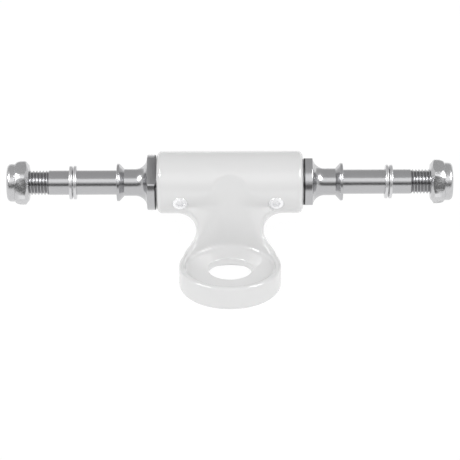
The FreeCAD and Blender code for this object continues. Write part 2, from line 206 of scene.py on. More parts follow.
class FasteningSettings(bpy.types.PropertyGroup):
    washer_radius: length("Washer radius", "Outside of the washers", 5.5)
    washer_bore: length("Washer bore", "Radius of the washers' hole", 4.2)
    washer_thickness: length("Washer thickness", "Thickness of one washer", 0.95)
    washer_round: length("Washer round", "Rounding of the washers' edges", 0.22)
    right_lean: angle("Right lean", "Lean of the right pair of washers", 1.9)
    nut_flats: length("Nut flats", "Distance across the nut's flats", 13.0)
    nut_hexagon: length("Nut hexagon", "Length of the hexagon", 4.6)
    nut_corner: length("Nut corner", "Radius that the hexagon's corners are turned down to", 7.2)
    nut_face: length("Nut face", "Radius of the nut's flat inner face", 5.7)
    nut_front: length("Nut front", "Length of the cone round the inner face", 1.2)
    nut_shoulder: length("Nut shoulder", "Length of the round shoulder beside the collar", 2.6)
    nut_chamfer: length("Nut chamfer", "Chamfer of the nut's bore", 0.45)
    nut_edge: length("Nut edge", "Rounding of the nut's edges", 0.14)
    nut_bore: length("Nut bore", "Radius of the nut's hole", 4.1)
    collar_radius: length("Nut collar radius", "Collar that holds the nylon ring", 6.15)
    collar_round: length("Nut collar round", "Dome of the collar", 1.3)
    lip: length("Nut lip", "Thickness of the lip over the nylon ring", 0.65)
    lip_radius: length("Nut lip radius", "Opening in the lip", 4.7)
    left_corner: angle("Left corner", "How far a corner of the left nut is turned up from the front", 45.0)
    right_corner: angle("Right corner", "How far a corner of the right nut is turned up", 47.0)
    insert_radius: length("Insert radius", "Outside of the nylon ring", 5.3)
    insert_length: length("Insert length", "Length of the nylon ring", 1.7)
    insert_room: length("Insert room", "Clearance round the nylon ring", 0.05)
    screw_radius: length("Screw radius", "Radius of the grub screws", 2.5)
    screw_tip: length("Screw tip", "From the axle's middle to the screw's tip", 4.6)
    screw_top: length("Screw top", "From the axle's middle to the screw's mouth", 10.05)
    screw_round: length("Screw round", "Rounding of the screw's mouth", 0.15)
    screw_edge: length("Screw edge", "Rounding of the edges of the screw's socket", 0.08)
    screw_socket: length("Screw socket", "Across the flats of the hexagon socket", 2.5)
    screw_socket_depth: length("Screw socket depth", "Depth of the hexagon socket", 0.6)
    plate: colour("Plate", "Colour of the nuts' plating", (0.65, 0.65, 0.66))
    zinc: colour("Zinc", "Colour of the washers and screws", (0.72, 0.72, 0.73))
    nylon: colour("Nylon", "Colour of the nylon rings", (0.74, 0.74, 0.70))


class PivotSettings(bpy.types.PropertyGroup):
    shank_radius: length("Pressed radius", "Part pressed into the casting", 4.0)
    shank_length: length("Pressed length", "Part pressed into the casting", 13.0)
    chamfer: length("Shoulder chamfer", "Chamfer of the pin's shoulder", 0.3)
    steel: colour("Steel", "Colour of the ground steel", (0.58, 0.58, 0.59))


class StageSettings(bpy.types.PropertyGroup):
    elevation: angle("Elevation", "How far the camera looks down", 28.0)
    roll: angle("Roll", "Turn of the camera about its view", 0.2)
    distance: length("Distance", "From the camera to the axles' middle, along the view", 830.0)
    frame_width: length("Frame width", "Width that the picture takes in at the axles", 150.65)
    axle_above_middle: length("Axle above middle", "How far the axles are above the picture's middle", 15.7)
    floor_size: length("Floor size", "Width of the floor", 12000.0)
    floor_glow: share("Floor glow", "How much of the floor's white is free of shadow", 0.93)
    floor_lift: share("Floor lift", "How much of that white the object's undersides get", 0.6)
    dark_start: length("Dark start", "From the kingpin forward to where the floor darkens", 120.0)
    dark_end: length("Dark end", "From the kingpin forward to where the floor is dark", 220.0)
    front_dark: share("Front dark", "How dark the room behind the camera is", 0.85)
    lamp_power: share("Lamp power", "Strength of the lamps", 0.55)
    sky_power: share("Sky power", "Strength of the sky", 0.91)
    horizon: share("Horizon", "Level of the sky at the horizon", 0.85)
    zenith: share("Zenith", "Level of the sky overhead", 0.6)
    back_glow: share("Back glow", "What the horizon behind the object adds", 0.7)


class TruckSettings(bpy.types.PropertyGroup):
    casting: bpy.props.PointerProperty(type=CastingSettings)
    axles: bpy.props.PointerProperty(type=AxleSettings)
    fastenings: bpy.props.PointerProperty(type=FasteningSettings)
    pivot: bpy.props.PointerProperty(type=PivotSettings)
    stage: bpy.props.PointerProperty(type=StageSettings)


class Signal:
    """A shader socket that expressions can be written with."""

    def __init__(self, shader, socket):
        self.shader = shader
        self.socket = socket

    def maths(self, operation, *values):
        return self.shader.node("Math", {"operation": operation}, dict(enumerate(values)))

    def __add__(self, other):
        return self.maths("ADD", self, other)

    def __sub__(self, other):
        return self.maths("SUBTRACT", self, other)

    def __mul__(self, other):
        return self.maths("MULTIPLY", self, other)

    def __truediv__(self, other):
        return self.maths("DIVIDE", self, other)

    def __pow__(self, other):
        return self.maths("POWER", self, other)

    def __rsub__(self, other):
        return self.maths("SUBTRACT", other, self)

    __radd__ = __add__
    __rmul__ = __mul__


class Shader:
    """Node tree under construction."""

    def __init__(self, tree):
        self.tree = tree
        tree.nodes.clear()

    def node(self, kind, settings=None, values=None, out=0):
        """Add one node: its settings first, then its sockets. Returns one output as a signal."""
        made = self.tree.nodes.new("ShaderNode" + kind)
        for name, value in (settings or {}).items():
            setattr(made, name, value)
        for name, value in (values or {}).items():
            if isinstance(value, Signal):
                self.tree.links.new(value.socket, made.inputs[name])
            else:
                made.inputs[name].default_value = value
        return Signal(self, made.outputs[out]) if made.outputs else None

    def place(self):
        return self.node("TexCoord", out="Object")

    def parts(self, vector):
        split = self.node("SeparateXYZ", values={"Vector": vector})
        return [Signal(self, socket) for socket in split.socket.node.outputs]

    def vector(self, x, y, z):
        return self.node("CombineXYZ", values={"X": x, "Y": y, "Z": z})

    def noise(self, vector, size, detail=3.0, roughness=0.5):
        values = {"Vector": vector, "Scale": 1 / size, "Detail": detail, "Roughness": roughness}
        return self.node("TexNoise", values=values, out="Fac")

    def between(self, signal, low, high, to_low=0.0, to_high=1.0):
        """Smooth step of a signal from one range to another."""
        values = {"Value": signal, "From Min": low, "From Max": high, "To Min": to_low, "To Max": to_high}
        return self.node("MapRange", {"interpolation_type": "SMOOTHSTEP"}, values)

    def mix(self, factor, first, second):
        """Blend of two colours, each a signal or three numbers."""
        values = {MIX_FACTOR: factor, MIX_FIRST: opaque(first), MIX_SECOND: opaque(second)}
        return self.node("Mix", {"data_type": "RGBA"}, values, out=MIX_RESULT)

    def bump(self, height, depth):
        return self.node("Bump", values={"Height": height, "Distance": depth, "Strength": 1.0})

    def principled(self, **values):
        """Finish the material. A socket goes by its name in small letters, with _ for spaces."""
        named = {name.replace("_", " ").title(): value for name, value in values.items()}
        named = {name.replace("Ior", "IOR"): value for name, value in named.items()}
        surface = self.node("BsdfPrincipled", values=named)
        self.node("OutputMaterial", values={"Surface": surface})


def opaque(tone):
    """A colour as its socket takes it: three numbers get a fourth."""
    return tone if isinstance(tone, Signal) else (*tone, 1)


def new_material(name):
    material = bpy.data.materials.new(name)
    material.use_nodes = True
    return material, Shader(material.node_tree)


def shaded(level, tone):
    """A colour scaled by a level."""
    return tuple(level * part for part in tone)


def powder_coat(settings):
    """White powder coat: soft gloss over fine orange peel."""
    cloud_tone = 0.975
    roughness, peel_roughness = 0.30, 0.08
    material, shader = new_material("powder_coat")
    place = shader.place()
    peel = shader.noise(place, settings.peel_size, detail=2.0)
    swell = shader.noise(place, settings.swell_size, detail=1.0)
    cloud = shader.noise(place, settings.cloud_size, detail=2.0)
    height = peel * settings.peel_depth + swell * settings.swell_depth
    shader.principled(
        base_color=shader.mix(cloud, shaded(cloud_tone, settings.coat), settings.coat),
        roughness=roughness + peel * peel_roughness,
        specular_ior_level=0.2,
        coat_weight=settings.gloss,
        coat_roughness=0.06,
        normal=shader.bump(height, 1.0),
    )
    return material


def round_axle(shader, place):
    """Distance along the axle, distance from it, and angle about it."""
    x, y, z = shader.parts(place)
    y = y - axle_line.y
    z = z - axle_line.z
    radius = (y * y + z * z) ** 0.5
    turn = radius.maths("ARCTAN2", z, y)
    return x, radius, turn


def turned_marks(shader, along, radius, turn, spacing):
    """Fine marks that a lathe leaves: they change along and across, hardly around."""
    around = 0.6
    place = shader.vector(along / spacing, radius / spacing, turn * around)
    return shader.noise(place, 1.0, detail=4.0)


def plated_steel(settings):
    """Bright plating over turned steel, with painted shade down in the threads and a painted shadow on the
    rim of the flange's back.
    """
    marks_size, haze_size, swell_size = 0.16 * MM, 6 * MM, 2.6 * MM
    marks_depth, swell_in_marks = 0.0011 * MM, 12
    roughness, haze_roughness, marks_roughness = 0.16, 0.08, 0.05
    thread_shade_share, haze_share, haze_tone = 0.55, 0.25, 1.12
    back_fade = 0.2 * MM
    material, shader = new_material("plated_steel")
    place = shader.place()
    along, radius, turn = round_axle(shader, place)
    marks = turned_marks(shader, along, radius, turn, marks_size)
    haze = shader.noise(place, haze_size)
    swell = shader.noise(place, swell_size, detail=1.0)
    root = settings.journal_radius - settings.thread_depth
    crest = settings.journal_radius - settings.thread_shade_edge
    # Painted shade: the plating darkens from just below a thread's crest down to its root.
    thread_shade = shader.between(radius, root, crest, thread_shade_share, 0.0)
    # Painted shadow: the rim of the flange's back, next to the gap to the tube, is painted dark.
    flange_back = tube_end + settings.seat_gap + settings.flange_round
    reach = along.maths("ABSOLUTE", along)
    behind = shader.between(reach, flange_back, flange_back + back_fade, 1.0, 0.0)
    rim_start = settings.flange_radius - settings.gap_shadow_width
    rim = shader.between(radius, rim_start, rim_start + settings.gap_shadow_fade)
    tone = shader.mix(thread_shade, settings.steel, shaded(settings.thread_shade_tone, settings.steel))
    tone = shader.mix(haze * haze_share, tone, shaded(haze_tone, settings.steel))
    tone = shader.mix(behind * rim, tone, shaded(settings.gap_shadow_tone, settings.steel))
    shader.principled(
        base_color=tone,
        metallic=1.0,
        roughness=roughness + haze * haze_roughness + marks * marks_roughness,
        normal=shader.bump(marks + swell * swell_in_marks, marks_depth),
    )
    return material


def milled_steel(settings):
    """The wrench flats, milled and duller."""
    across, around = 0.10 * MM, 4 * MM
    dark, light = 0.40, 0.66
    roughness, marks_roughness, marks_depth = 0.30, 0.16, 0.004 * MM
    material, shader = new_material("milled_flats")
    x, y, z = shader.parts(shader.place())
    marks = shader.noise(shader.vector(x / across, y / around, z / around), 1.0, detail=4.0)
    shader.principled(
        base_color=shader.mix(marks, shaded(dark, settings.steel), shaded(light, settings.steel)),
        metallic=1.0,
        roughness=roughness + marks * marks_roughness,
        normal=shader.bump(marks, marks_depth),
    )
    return material


def nut_steel(settings):
    """Plated, pressed nut: scuffed, with brighter corners."""
    scuff_size, scuff_depth, marks_size, marks_in_scuffs = 0.55 * MM, 0.045 * MM, 0.2 * MM, 0.1
    scuff_tone, corner_tone = 0.75, 1.25
    corner_start, corner_fade = settings.nut_corner - 0.3 * MM, 0.5 * MM
    roughness, scuff_roughness = 0.16, 0.18
    material, shader = new_material("nut_steel")
    place = shader.place()
    along, radius, turn = round_axle(shader, place)
    scuffs = shader.noise(place, scuff_size, roughness=0.6)
    marks = turned_marks(shader, along, radius, turn, marks_size)
    worn = shader.between(radius, corner_start, corner_start + corner_fade)
    tone = shader.mix(scuffs, shaded(scuff_tone, settings.plate), settings.plate)
    tone = shader.mix(worn, tone, shaded(corner_tone, settings.plate))
    shader.principled(
        base_color=tone,
        metallic=1.0,
        roughness=roughness + scuffs * scuff_roughness,
        normal=shader.bump(scuffs + marks * marks_in_scuffs, scuff_depth),
    )
    return material


def washer_steel(settings):
    """Bright zinc with faint turned marks."""
    marks_size, marks_depth, haze_size, haze_tone = 0.12 * MM, 0.004 * MM, 1.5 * MM, 0.92
    roughness, marks_roughness = 0.26, 0.14
    material, shader = new_material("washer_steel")
    place = shader.place()
    along, radius, turn = round_axle(shader, place)
    marks = turned_marks(shader, along, radius, turn, marks_size)
    haze = shader.noise(place, haze_size)
    shader.principled(
        base_color=shader.mix(haze, shaded(haze_tone, settings.zinc), settings.zinc),
        metallic=1.0,
        roughness=roughness + marks * marks_roughness,
        normal=shader.bump(marks, marks_depth),
    )
    return material


def nylon(settings):
    """Natural nylon with a fine grain."""
    grain_size, grain_depth, grain_tone = 0.35 * MM, 0.01 * MM, 0.92
    roughness, grain_roughness = 0.42, 0.1
    material, shader = new_material("nylon")
    place = shader.place()
    grain = shader.noise(place, grain_size)
    shader.principled(
        base_color=shader.mix(grain, shaded(grain_tone, settings.nylon), settings.nylon),
        roughness=roughness + grain * grain_roughness,
        subsurface_weight=0.2,
        subsurface_radius=(MM, MM, MM),
        normal=shader.bump(grain, grain_depth),
    )
    return material


def screw_steel(settings):
    """Zinc-plated grub screw, with painted shade down in its socket."""
    grain_size, grain_depth, face_depth = 0.25 * MM, 0.006 * MM, 0.05 * MM
    socket_shade_tone, face_tone = 1.2, 1.36
    roughness, grain_roughness = 0.2, 0.14
    material, shader = new_material("screw_steel")
    place = shader.place()
    grain = shader.noise(place, grain_size, detail=4.0)
    radius = round_axle(shader, place)[1]
    # Painted shade: the colour darkens from the screw's face down to the socket's bottom.
    bottom = settings.screw_top - settings.screw_socket_depth
    height = shader.between(radius, bottom, settings.screw_top - face_depth)
    tone = shader.mix(height, shaded(socket_shade_tone, settings.zinc), shaded(face_tone, settings.zinc))
    shader.principled(
        base_color=tone,
        metallic=0.85,
        roughness=roughness + grain * grain_roughness,
        normal=shader.bump(grain, grain_depth),
    )
    return material


def ground_steel(settings):
    """Ground pin, with marks that run round it."""
    marks_size, marks_width, marks_depth = 0.1 * MM, 3 * MM, 0.002 * MM
    haze_size, haze_tone = 2.5 * MM, 0.85
    roughness, marks_roughness, haze_roughness = 0.2, 0.1, 0.08
    material, shader = new_material("pin_steel")
    place = shader.place()
    x, y, z = shader.parts(place)
    axis = Vector(mounts["pivot_pin_nose"]["axis"])
    along = (y * axis.y + z * axis.z) / marks_size
    marks = shader.noise(shader.vector(along, x / marks_width, 0.0), 1.0, detail=4.0)
    haze = shader.noise(place, haze_size)
    shader.principled(
        base_color=shader.mix(haze, shaded(haze_tone, settings.steel), settings.steel),
        metallic=1.0,
        roughness=roughness + marks * marks_roughness + haze * haze_roughness,
        normal=shader.bump(marks, marks_depth),
    )
    return material


def arc(centre, radii, start, end, steps=6):
    """Points of an elliptic arc, with the angles in degrees."""
    points = []
    for index in range(steps + 1):
        turn = math.radians(start + (end - start) * index / steps)
        points.append((centre[0] + radii[0] * math.cos(turn), centre[1] + radii[1] * math.sin(turn)))
    return points


def lathe(profile, closed=False):
    """Spin points, given as places along X and distances from it, into a solid."""
    mesh = bmesh.new()
    points = [mesh.verts.new((x, 0, radius)) for x, radius in profile]
    pairs = list(zip(points, points[1:]))
    if closed:
        pairs.append((points[-1], points[0]))
    edges = [mesh.edges.new(pair) for pair in pairs]
    bmesh.ops.spin(
        mesh, geom=points + edges, cent=(0, 0, 0), axis=(1, 0, 0), dvec=(0, 0, 0),
        angle=2 * math.pi, steps=AROUND, use_merge=True, use_duplicate=False
    )
    return closed_up(mesh)


def closed_up(mesh):
    """Weld the poles and seams, and turn the faces outwards."""
    bmesh.ops.remove_doubles(mesh, verts=mesh.verts, dist=WELD)
    bmesh.ops.recalc_face_normals(mesh, faces=mesh.faces)
    return mesh


def cut_away(mesh, point, normal, material_index=0):
    """Cut off what lies beyond a plane, close the cut, and return its new faces."""
    cut = bmesh.ops.bisect_plane(
        mesh, geom=mesh.verts[:] + mesh.edges[:] + mesh.faces[:], dist=WELD,
        plane_co=point, plane_no=normal, clear_outer=True
    )
    edges = [item for item in cut["geom_cut"] if isinstance(item, bmesh.types.BMEdge)]
    faces = bmesh.ops.holes_fill(mesh, edges=edges, sides=0)["faces"]
    for face in faces:
        face.material_index = material_index
    return faces


def thread(start, end, radius, settings):
    """Helical thread as a closed solid along X, chamfered at its outer end."""
    turns = math.ceil((end - start) / settings.pitch) + 2
    flat = settings.thread_flat * settings.pitch
    root = radius - settings.thread_depth
    middle = settings.pitch / 2
    ridge = [
        (0, root),
        (flat / 2, root),
        (middle - flat / 2, radius),
        (middle + flat / 2, radius),
        (settings.pitch - flat / 2, root),
        (settings.pitch, root),
    ]
    mesh = bmesh.new()
    points = [mesh.verts.new((start - settings.pitch + x, 0, r)) for x, r in ridge]
    edges = [mesh.edges.new(pair) for pair in zip(points, points[1:])]
    steps = AROUND // 2
    bmesh.ops.spin(
        mesh, geom=points + edges, cent=(0, 0, 0), axis=(1, 0, 0), dvec=(settings.pitch / steps, 0, 0),
        angle=2 * math.pi * turns, steps=steps * turns, use_merge=False, use_duplicate=False
    )
    bmesh.ops.remove_doubles(mesh, verts=mesh.verts, dist=THREAD_WELD)
    cut_away(mesh, (start, 0, 0), (-1, 0, 0))
    cut_away(mesh, (end, 0, 0), (1, 0, 0))
    for vert in mesh.verts:
        limit = radius - settings.chamfer + end - vert.co.x
        reach = math.hypot(vert.co.y, vert.co.z)
        if reach > limit:
            vert.co.yz = vert.co.yz * (limit / reach)
    return closed_up(mesh)


def axle_core(settings, shank_end):
    """The turned axle without its threads, as one closed solid."""
    flange_face = tube_end + settings.seat_gap
    flange_end = flange_face + settings.flange_thickness
    neck_start = flange_end + settings.flare_radius
    neck_end = neck_start + settings.neck_length
    collar_face = neck_end + settings.collar_length
    thread_start = collar_face + settings.journal_length
    shoulder_end = neck_end + settings.shoulder
    flare_centre = (neck_start, settings.neck_radius + settings.flare_radius)
    edge = settings.flange_round
    turn = settings.collar_round
    runout = settings.thread_depth
    shank_core = settings.shank_radius - settings.thread_depth
    journal_core = settings.journal_radius - settings.thread_depth
    shank_thread_end = shank_end + settings.shank_thread
    profile = [
        (shank_thread_end - runout, 0),
        (shank_thread_end - runout, shank_core),
        (shank_thread_end, shank_core),
        (shank_thread_end + runout, settings.shank_radius),
        (tube_end, settings.shank_radius),
        (tube_end, settings.seat_radius),
        (flange_face, settings.seat_radius),
        (flange_face, settings.flange_radius - edge),
    ]
    profile += arc((flange_face + edge, settings.flange_radius - edge), (edge, edge), 180, 90, steps=4)
    profile += arc((flange_end - edge, settings.flange_radius - edge), (edge, edge), 90, 0, steps=4)
    profile += arc(flare_centre, (settings.flare_radius, settings.flare_radius), 180, 270, steps=18)
    profile += [(neck_end, settings.neck_radius)]
    profile += arc((shoulder_end + turn, settings.collar_radius - turn), (turn, turn), 140, 90, steps=4)
    profile += arc((collar_face - turn, settings.collar_radius - turn), (turn, turn), 90, 0, steps=5)
    profile += [
        (collar_face, settings.journal_radius),
        (thread_start, settings.journal_radius),
        (thread_start + runout, journal_core),
        (thread_start + 2 * runout, journal_core),
        (thread_start + 2 * runout, 0),
    ]
    return lathe(welded(profile)), thread_start


def welded(profile):
    """Leave out points that fall on the one before."""
    kept = profile[:1]
    for point in profile[1:]:
        if math.dist(point, kept[-1]) > WELD:
            kept.append(point)
    return kept


def stand(mesh, origin, direction):
    """Move a mesh made along X to its place."""
    turn = Vector(direction).to_track_quat("X", "Z").to_matrix().to_4x4()
    mesh.transform(Matrix.Translation(origin) @ turn)
    return mesh


def joined(first, second):
    """Put the second mesh into the first."""
    data = bpy.data.meshes.new("joined")
    second.to_mesh(data)
    first.from_mesh(data)
    bpy.data.meshes.remove(data)
    second.free()
    return first


def as_object(name, mesh):
    data = bpy.data.meshes.new(name)
    mesh.to_mesh(data)
    mesh.free()
    made = bpy.data.objects.new(name, data)
    bpy.context.scene.collection.objects.link(made)
    return made


def baked(made):
    """Apply an object's modifiers and return the result as a mesh under edit."""
    graph = bpy.context.evaluated_depsgraph_get()
    data = bpy.data.meshes.new_from_object(made.evaluated_get(graph))
    mesh = bmesh.new()
    mesh.from_mesh(data)
    old = made.data
    bpy.data.objects.remove(made)
    bpy.data.meshes.remove(old)
    bpy.data.meshes.remove(data)
    return mesh


def boolean(base, operation, other):
    """Unite, cut or intersect two closed meshes."""
    base_object = as_object("base", base)
    other_object = as_object("other", other)
    modifier = base_object.modifiers.new("boolean", "BOOLEAN")
    modifier.operation = operation
    modifier.object = other_object
    modifier.solver = "EXACT"
    mesh = baked(base_object)
    data = other_object.data
    bpy.data.objects.remove(other_object)
    bpy.data.meshes.remove(data)
    return mesh


def piece(name, mesh, node, materials, edge=0):
    """Make the finished object that stands for a node of the frame."""
    made = as_object(name, mesh)
    for material in materials:
        made.data.materials.append(material)
    if edge:
        modifier = made.modifiers.new("edge", "BEVEL")
        modifier.width = edge
        modifier.segments = 2
        modifier.limit_method = "ANGLE"
        modifier.angle_limit = SMOOTH_ANGLE
        modifier.miter_outer = "MITER_ARC"
    made.data.shade_smooth()
    made.data.set_sharp_from_angle(angle=SMOOTH_ANGLE)
    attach(made, bodies[node])
    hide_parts(node)
    return made


def hexagon(across_flats, start, end):
    """Hexagonal prism along X with a corner towards -Y."""
    mesh = bmesh.new()
    corner = across_flats / math.sqrt(3)
    bmesh.ops.create_cone(
        mesh, cap_ends=True, segments=6, radius1=corner, radius2=corner, depth=end - start,
        matrix=Matrix.Translation(((start + end) / 2, 0, 0)) @ Matrix.Rotation(math.pi / 2, 4, "Y")
    )
    low = min(mesh.verts, key=lambda vert: vert.co.y)
    off = math.atan2(low.co.z, -low.co.y)
    bmesh.ops.rotate(mesh, verts=mesh.verts, cent=(0, 0, 0), matrix=Matrix.Rotation(off, 3, "X"))
    bmesh.ops.recalc_face_normals(mesh, faces=mesh.faces)
    return mesh


def nut_body(settings, start, end):
    """Lock nut along X: chamfered hexagon, domed collar, and the room for its nylon ring."""
    corner = settings.nut_corner
    hexagon_end = start + settings.nut_hexagon
    shoulder = settings.nut_shoulder
    chamfer = settings.nut_chamfer
    dome = settings.collar_round
    room_end = end - settings.lip
    room_start = room_end - settings.insert_length - 2 * settings.insert_room
    room_radius = settings.insert_radius + settings.insert_room
    envelope = [(start, 0), (start, settings.nut_face), (start + settings.nut_front, corner)]
    rounding = (shoulder, corner - settings.collar_radius)
    envelope += arc((hexagon_end - shoulder, settings.collar_radius), rounding, 90, 0, steps=8)
    envelope += [(hexagon_end, 0)]
    collar = [(hexagon_end - shoulder, 0), (hexagon_end - shoulder, settings.collar_radius)]
    collar += arc((end - dome, settings.collar_radius - dome), (dome, dome), 90, 0, steps=10)
    collar += [(end, 0)]
    hollow = lathe([
        (start - chamfer, 0),
        (start - chamfer, settings.nut_bore + 2 * chamfer),
        (start + chamfer, settings.nut_bore),
        (room_start, settings.nut_bore),
        (room_start, room_radius),
        (room_end, room_radius),
        (room_end, settings.lip_radius),
        (end + chamfer, settings.lip_radius),
        (end + chamfer, 0),
    ])
    body = boolean(hexagon(settings.nut_flats, start, hexagon_end), "INTERSECT", lathe(envelope))
    body = boolean(body, "UNION", lathe(collar))
    return boolean(body, "DIFFERENCE", hollow)


def soften(verts, mesh):
    """Move every point half way to the middle of its neighbours."""
    bmesh.ops.smooth_vert(
        mesh, verts=verts, factor=0.5, use_axis_x=True, use_axis_y=True, use_axis_z=True
    )


class SKATE_OT_cast_hanger(bpy.types.Operator):
    """Cast the hanger: tube, neck and cushion ring with soft edges"""

    bl_idname = "skate_truck.cast_hanger"
    bl_label = "Cast hanger"

    def execute(self, context):
        settings = context.scene.skate_truck.casting
        mesh = bmesh.new()
        mesh.from_mesh(frame["nodes"]["hanger_casting"].data)
        closed_up(mesh)
        for plug in self.plugs(settings):
            joined(mesh, plug)
        rough = as_object("rough_casting", mesh)
        grid = rough.modifiers.new("grid", "REMESH")
        grid.mode = "VOXEL"
        grid.voxel_size = settings.grid
        mesh = baked(rough)
        for _ in range(settings.edge_passes):
            soften(mesh.verts, mesh)
        self.blend_neck(mesh, settings)
        mesh = boolean(mesh, "DIFFERENCE", self.drills(settings))
        piece("hanger_casting_coated", mesh, "hanger_casting", [powder_coat(settings)])
        return {"FINISHED"}

    def plugs(self, settings):
        """Solids that fill the kingpin hole and the screw holes while the edges are softened."""
        hole = mounts["kingpin_hole"]["dims"]
        half = hole["length_mm"] * MM / 2
        radius = hole["r_mm"] * MM + settings.grid
        disc = lathe([(-half, 0), (-half, radius), (half, radius), (half, 0)])
        plugs = [stand(disc, (0, 0, 0), (0, 0, 1))]
        outside, inside = tube_radius, 0.6 * tube_radius
        for side in sides:
            low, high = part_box(side + "_grub_screw")
            start, end = low.x - settings.grid, high.x + settings.grid
            ring = [(start, inside), (start, outside), (end, outside), (end, inside)]
            plugs.append(stand(lathe(ring, closed=True), axle_line, (1, 0, 0)))
        return plugs

    def drills(self, settings):
        """The kingpin hole and the screw holes, as solids to cut with."""
        hole = mounts["kingpin_hole"]["dims"]
        half = hole["length_mm"] * MM / 2
        radius = hole["r_mm"] * MM
        edge = settings.hole_chamfer
        cutter = stand(lathe([
            (-2 * half, 0),
            (-2 * half, radius + edge),
            (-half, radius + edge),
            (edge - half, radius),
            (half - edge, radius),
            (half, radius + edge),
            (2 * half, radius + edge),
            (2 * half, 0),
        ]), (0, 0, 0), (0, 0, 1))
        radius = settings.screw_hole
        bottom, beyond = 0.4 * tube_radius, 1.2 * tube_radius
        for side in sides:
            low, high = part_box(side + "_grub_screw")
            middle = Vector(((low.x + high.x) / 2, axle_line.y, axle_line.z))
            drill = lathe([
                (bottom, 0),
                (bottom, radius),
                (tube_radius - edge, radius),
                (tube_radius, radius + edge),
                (beyond, radius + edge),
                (beyond, 0),
            ])
            joined(cutter, stand(drill, middle, joint_axes[side + "_grub_screw_out"]))
        return cutter

    def blend_neck(self, mesh, settings):
        """Smooth the hollow between the neck and the tube, less and less further out."""
        middle = axle_line - Vector((0, settings.blend_forward, settings.blend_below))
        steps = settings.blend_steps
        for step in range(steps):
            reach = settings.blend_reach * (1 - settings.blend_shrink * step / steps)
            near = [vert for vert in mesh.verts if (vert.co - middle).length < reach]
            for _ in range(settings.blend_passes // steps):
                soften(near, mesh)


class SKATE_OT_turn_axles(bpy.types.Operator):
    """Turn both axles, with their wrench flats and threads"""

    bl_idname = "skate_truck.turn_axles"
    bl_label = "Turn axles"

    def execute(self, context):
        settings = context.scene.skate_truck.axles
        materials = [plated_steel(settings), milled_steel(settings)]
        low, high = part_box("right_axle")
        for side, direction in sides.items():
            core, thread_start = axle_core(settings, low.x)
            stand(core, axle_line, direction)
            up = settings.left_flats if side == "left" else settings.right_flats
            normal = Vector((0, -math.cos(up), math.sin(up)))
            for way in (normal, -normal):
                faces = cut_away(core, axle_line + way * settings.flats / 2, way, 1)
                edges = {edge for face in faces for edge in face.edges}
                bmesh.ops.bevel(
                    core, geom=list(edges), offset=settings.flat_edge, offset_type="OFFSET",
                    segments=2, profile=0.5, affect="EDGES", clamp_overlap=True, material=-1
                )
            shank = thread(low.x, low.x + settings.shank_thread, settings.shank_radius, settings)
            thread_start += settings.thread_depth / 2
            outer = thread(thread_start, high.x, settings.journal_radius, settings)
            for part in (shank, outer):
                joined(core, stand(part, axle_line, direction))
            piece(side + "_axle_plated", core, side + "_axle", materials)
        return {"FINISHED"}


class SKATE_OT_make_washers(bpy.types.Operator):
    """Make the four washers where they rest on the journals"""

    bl_idname = "skate_truck.make_washers"
    bl_label = "Make washers"

    def execute(self, context):
        settings = context.scene.skate_truck.fastenings
        material = washer_steel(settings)
        half = settings.washer_thickness / 2
        edge = settings.washer_round
        inner = settings.washer_bore + edge
        outer = settings.washer_radius - edge
        profile = arc((half - edge, outer), (edge, edge), 90, 0, steps=4)
        profile += arc((half - edge, inner), (edge, edge), 0, -90, steps=4)
        profile += arc((edge - half, inner), (edge, edge), -90, -180, steps=4)
        profile += arc((edge - half, outer), (edge, edge), 180, 90, steps=4)
        for side in sides:
            lean = settings.right_lean if side == "right" else 0
            direction = Vector((math.cos(lean), 0, -math.sin(lean)))
            for rank in ("inner", "outer"):
                node = side + "_" + rank + "_washer"
                low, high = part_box(node)
                washer = stand(lathe(profile, closed=True), (low + high) / 2, direction)
                piece(node + "_plated", washer, node, [material])
        return {"FINISHED"}


class SKATE_OT_make_nuts(bpy.types.Operator):
    """Make the lock nuts and the nylon rings inside them"""

    bl_idname = "skate_truck.make_nuts"
    bl_label = "Make lock nuts"

    def execute(self, context):
        settings = context.scene.skate_truck.fastenings
        steel = nut_steel(settings)
        plastic = nylon(settings)
        low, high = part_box("right_lock_nut")
        ring_low, ring_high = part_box("right_nut_insert")
        ring = [
            (ring_low.x, settings.nut_bore),
            (ring_low.x, settings.insert_radius),
            (ring_high.x, settings.insert_radius),
            (ring_high.x, settings.nut_bore + settings.insert_room),
            (ring_high.x - settings.insert_room, settings.nut_bore),
        ]
        for side, direction in sides.items():
            nut = stand(nut_body(settings, low.x, high.x), axle_line, direction)
            up = settings.left_corner if side == "left" else settings.right_corner
            bmesh.ops.rotate(nut, verts=nut.verts, cent=axle_line, matrix=Matrix.Rotation(-up, 3, "X"))
            piece(side + "_lock_nut_plated", nut, side + "_lock_nut", [steel], settings.nut_edge)
            insert = stand(lathe(ring, closed=True), axle_line, direction)
            piece(side + "_nut_insert_nylon", insert, side + "_nut_insert", [plastic])
        return {"FINISHED"}


class SKATE_OT_make_screws(bpy.types.Operator):
    """Make the two grub screws with their hexagon sockets"""

    bl_idname = "skate_truck.make_screws"
    bl_label = "Make grub screws"

    def execute(self, context):
        settings = context.scene.skate_truck.fastenings
        material = screw_steel(settings)
        edge = settings.screw_round
        tip, top, radius = settings.screw_tip, settings.screw_top, settings.screw_radius
        profile = [(tip, 0), (tip, radius - 2 * edge), (tip + 2 * edge, radius)]
        profile += arc((top - edge, radius - edge), (edge, edge), 90, 0, steps=5)
        profile += [(top, 0)]
        for side in sides:
            node = side + "_grub_screw"
            low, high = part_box(node)
            middle = Vector(((low.x + high.x) / 2, axle_line.y, axle_line.z))
            socket = hexagon(settings.screw_socket, top - settings.screw_socket_depth, top + edge)
            screw = boolean(lathe(profile), "DIFFERENCE", socket)
            stand(screw, middle, joint_axes[node + "_out"])
            piece(node + "_plated", screw, node, [material], settings.screw_edge)
        return {"FINISHED"}


